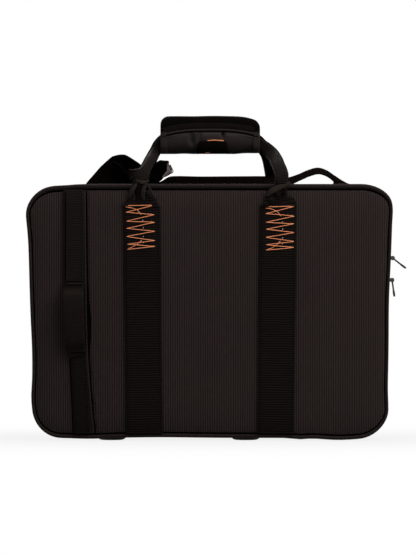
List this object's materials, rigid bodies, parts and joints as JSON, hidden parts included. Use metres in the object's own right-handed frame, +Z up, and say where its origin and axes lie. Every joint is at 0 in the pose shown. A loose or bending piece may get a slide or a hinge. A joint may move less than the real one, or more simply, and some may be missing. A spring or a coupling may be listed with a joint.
{
  "type": "soft clarinet case",
  "caption": "Soft rectangular clarinet case with wrapped carrying handle, vertical webbing bands, side hand loop, shoulder strap, zipped lid and fitted foam insert.",
  "frame": {"origin": "centre of the bounding box at the level of the feet; the zip plane and the lid's hinge line lie at y = 0", "axes": "+X to the right when the carrying face is seen, +Y from the carrying face to the rear, +Z up"},
  "size_m": [0.3934, 0.155, 0.3373],
  "materials": {
    "nylon": "ribbed woven nylon, matte",
    "webbing": "close woven webbing with cross ribs",
    "piping": "piping covered in ribbed nylon",
    "plush": "short velvet pile",
    "tray": "moulded, matte",
    "foam": "foam under velvet",
    "zip": "zip tape with coil teeth",
    "metal": "plated, lightly worn",
    "rubber": "moulded, matte"
  },
  "bodies": {
    "root": {"base_tray": "tray", "front_panel": "nylon", "base_gusset": "nylon", "base_piping": "piping", "base_zip_tape": "zip", "base_hinge_tape": "nylon", "foam_insert": "foam", "foot_near_left": "rubber", "foot_near_right": "rubber", "front_strap_left": "webbing", "front_strap_right": "webbing", "side_strap": "webbing", "side_hand_loop": "webbing", "front_handle_loop": "webbing", "handle_grip": "plush"},
    "lid": {"lid_tray": "tray", "rear_panel": "nylon", "lid_gusset": "nylon", "lid_piping": "piping", "lid_zip_tape": "zip", "lid_hinge_tape": "nylon", "lid_pad": "plush", "foot_far_left": "rubber", "foot_far_right": "rubber", "rear_strap_left": "webbing", "rear_strap_right": "webbing", "rear_handle_loop": "webbing", "pocket_wall": "nylon", "ring_tab_left": "webbing", "ring_tab_right": "webbing", "d_ring_left": "metal", "d_ring_right": "metal", "hook_left": "metal", "hook_right": "metal", "shoulder_strap": "webbing", "strap_tail": "webbing"},
    "handle_flap": {"handle_flap": "nylon", "finger_tab": "webbing"},
    "slider_upper": {"slider_upper": "metal"},
    "pull_upper": {"pull_upper": "metal"},
    "slider_lower": {"slider_lower": "metal"},
    "pull_lower": {"pull_lower": "metal"},
    "pocket_panel": {"pocket_panel": "nylon"},
    "pocket_slider": {"pocket_slider": "metal"},
    "pocket_pull": {"pocket_pull": "metal"},
    "hook_gate_left": {"hook_gate_left": "metal"},
    "hook_gate_right": {"hook_gate_right": "metal"},
    "strap_adjuster": {"strap_adjuster": "metal"}
  },
  "joints": [
    {"name": "lid_hinge", "type": "hinge", "parent": "root", "child": "lid", "pos_m": [0, 0, 0.004], "axis": [-1, 0, 0], "range_deg": [0, 150], "deforming": ["rear_handle_loop"]},
    {"name": "flap_hinge", "type": "hinge", "parent": "root", "child": "handle_flap", "pos_m": [0, 0.0155, 0.3028], "axis": [1, 0, 0], "range_deg": [0, 70]},
    {"name": "zip_upper_run", "type": "slide", "parent": "root", "child": "slider_upper", "axis": [0.0267, 0, 0.9996], "range_m": [0, 0.028]},
    {"name": "pull_upper_swing", "type": "hinge", "parent": "slider_upper", "child": "pull_upper", "pos_m": [0.18195, 0, 0.18888], "axis": [0, -1, 0], "range_deg": [-50, 125]},
    {"name": "zip_lower_run", "type": "slide", "parent": "root", "child": "slider_lower", "axis": [0.0267, 0, 0.9996], "range_m": [-0.105, 0]},
    {"name": "pull_lower_swing", "type": "hinge", "parent": "slider_lower", "child": "pull_lower", "pos_m": [0.18134, 0, 0.16589], "axis": [0, -1, 0], "range_deg": [-7, 100]},
    {"name": "pocket_panel_hinge", "type": "hinge", "parent": "lid", "child": "pocket_panel", "pos_m": [0, 0.0709, 0.043], "axis": [-1, 0, 0], "range_deg": [0, 70]},
    {"name": "pocket_zip_run", "type": "slide", "parent": "lid", "child": "pocket_slider", "axis": [1, 0, 0], "range_m": [-0.14, 0]},
    {"name": "pocket_pull_swing", "type": "hinge", "parent": "pocket_slider", "child": "pocket_pull", "pos_m": [0.06268, 0.0706, 0.1978], "axis": [0, 1, 0], "range_deg": [0, 180]},
    {"name": "gate_left_hinge", "type": "hinge", "parent": "lid", "child": "hook_gate_left", "pos_m": [-0.13332, 0.06385, 0.21396], "axis": [1, 0, 0], "range_deg": [0, 18], "stiffness_Nm_per_rad": 0.01},
    {"name": "gate_right_hinge", "type": "hinge", "parent": "lid", "child": "hook_gate_right", "pos_m": [0.11468, 0.06385, 0.21396], "axis": [1, 0, 0], "range_deg": [0, 18], "stiffness_Nm_per_rad": 0.01},
    {"name": "adjuster_run", "type": "slide", "parent": "lid", "child": "strap_adjuster", "axis": [0, 0, 1], "range_m": [0, 0.009]}
  ]
}
